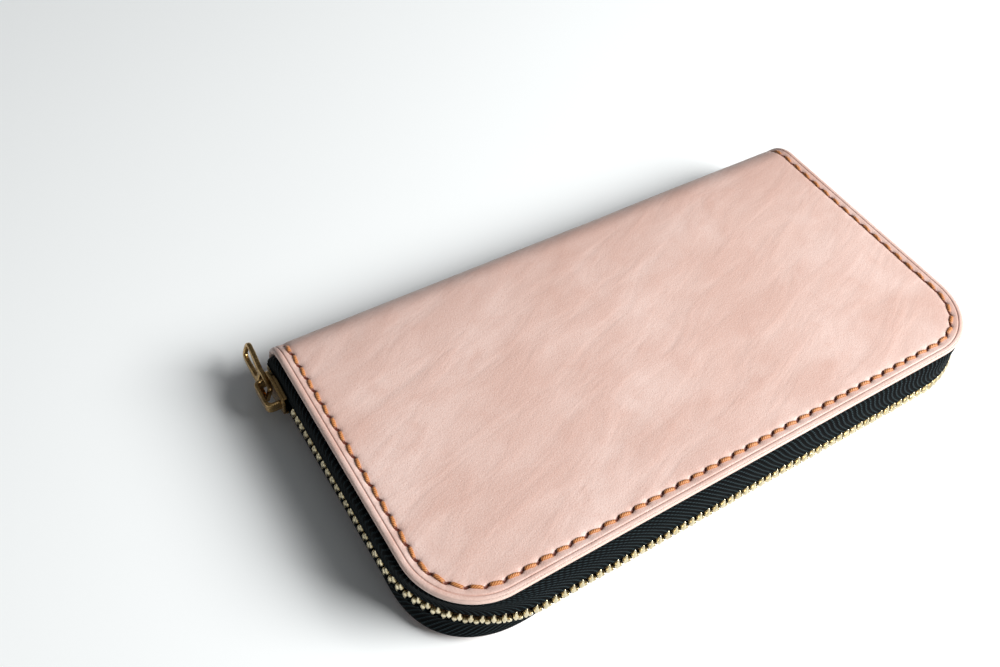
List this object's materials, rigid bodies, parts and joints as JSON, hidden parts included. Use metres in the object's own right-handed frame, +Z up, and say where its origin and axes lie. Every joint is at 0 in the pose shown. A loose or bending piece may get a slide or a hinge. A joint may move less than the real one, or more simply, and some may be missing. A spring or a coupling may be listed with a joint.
{
  "type": "zip around wallet",
  "caption": "Long leather wallet closed on three sides by a metal zip, with a folded spine, card slots, note pockets and a zipped coin pocket inside.",
  "frame": {"origin": "on the surface the back cover lies on, under the middle of the overall box", "axes": "+X along the wallet, away from the parked zip slider; +Y towards the folded spine, so -Y is the long zip side; +Z up, out of the front cover"},
  "size_m": [0.2082, 0.1142, 0.022],
  "materials": {
    "cover_leather": "natural vegetable tanned, satin",
    "inner_leather": "natural vegetable tanned, matt",
    "lining_leather": "thin split, matt",
    "zip_tape": "black twill tape",
    "thread": "waxed linen",
    "teeth_brass": "pale gold, polished",
    "slider_brass": "antique brass"
  },
  "bodies": {
    "back_half": {"back_cover": "cover_leather", "back_stitching": "thread", "back_zip_tape": "zip_tape", "back_teeth": "teeth_brass", "back_top_stop": "teeth_brass", "back_bottom_stop": "teeth_brass", "back_lining": "lining_leather", "back_card_slot_1": "inner_leather", "back_card_slot_2": "inner_leather", "back_card_slot_3": "inner_leather", "back_gusset_left": "inner_leather", "back_gusset_right": "inner_leather"},
    "coin_pocket": {"coin_pocket_shell": "inner_leather", "coin_pocket_left_side": "inner_leather", "coin_pocket_right_side": "inner_leather", "coin_back_tape": "zip_tape", "coin_front_tape": "zip_tape", "coin_back_teeth": "teeth_brass", "coin_front_teeth": "teeth_brass"},
    "front_half": {"front_cover": "cover_leather", "front_stitching": "thread", "front_zip_tape": "zip_tape", "front_teeth": "teeth_brass", "front_top_stop": "teeth_brass", "front_bottom_stop": "teeth_brass", "front_lining": "lining_leather", "front_card_slot_1": "inner_leather", "front_card_slot_2": "inner_leather", "front_card_slot_3": "inner_leather", "front_gusset_left": "inner_leather", "front_gusset_right": "inner_leather"},
    "main_slider": {"zip_slider": "slider_brass"},
    "main_pull": {"zip_pull": "slider_brass"},
    "pocket_slider": {"coin_slider": "slider_brass"},
    "pocket_pull": {"coin_pull": "slider_brass"}
  },
  "joints": [
    {"name": "pocket_fan", "type": "hinge", "parent": "back_half", "child": "coin_pocket", "pos_m": [0.0028, 0.05019, 0.011], "axis": [-1, 0, 0], "range_deg": [0, 38], "deforming": ["back_gusset_left", "back_gusset_right"]},
    {"name": "cover_opening", "type": "hinge", "parent": "coin_pocket", "child": "front_half", "pos_m": [0.0028, 0.05019, 0.011], "axis": [-1, 0, 0], "range_deg": [0, 38], "deforming": ["front_gusset_left", "front_gusset_right"]},
    {"name": "zip_travel", "type": "slide", "parent": "back_half", "child": "main_slider", "axis": [0, -1, 0], "range_m": [0, 0.055], "deforming": ["back_teeth", "front_teeth"]},
    {"name": "pull_swing", "type": "hinge", "parent": "main_slider", "child": "main_pull", "pos_m": [-0.1015, 0.03769, 0.011], "axis": [0, 0, 1], "range_deg": [0, 165]},
    {"name": "pocket_zip_travel", "type": "slide", "parent": "coin_pocket", "child": "pocket_slider", "axis": [1, 0, 0], "range_m": [0, 0.136], "deforming": ["coin_back_teeth", "coin_front_teeth"]},
    {"name": "pocket_pull_swing", "type": "hinge", "parent": "pocket_slider", "child": "pocket_pull", "pos_m": [-0.0652, -0.04009, 0.011], "axis": [0, 0, 1], "range_deg": [0, 170]}
  ],
  "couplings": [
    {"joint": "cover_opening", "follows": "pocket_fan", "ratio": 1}
  ]
}
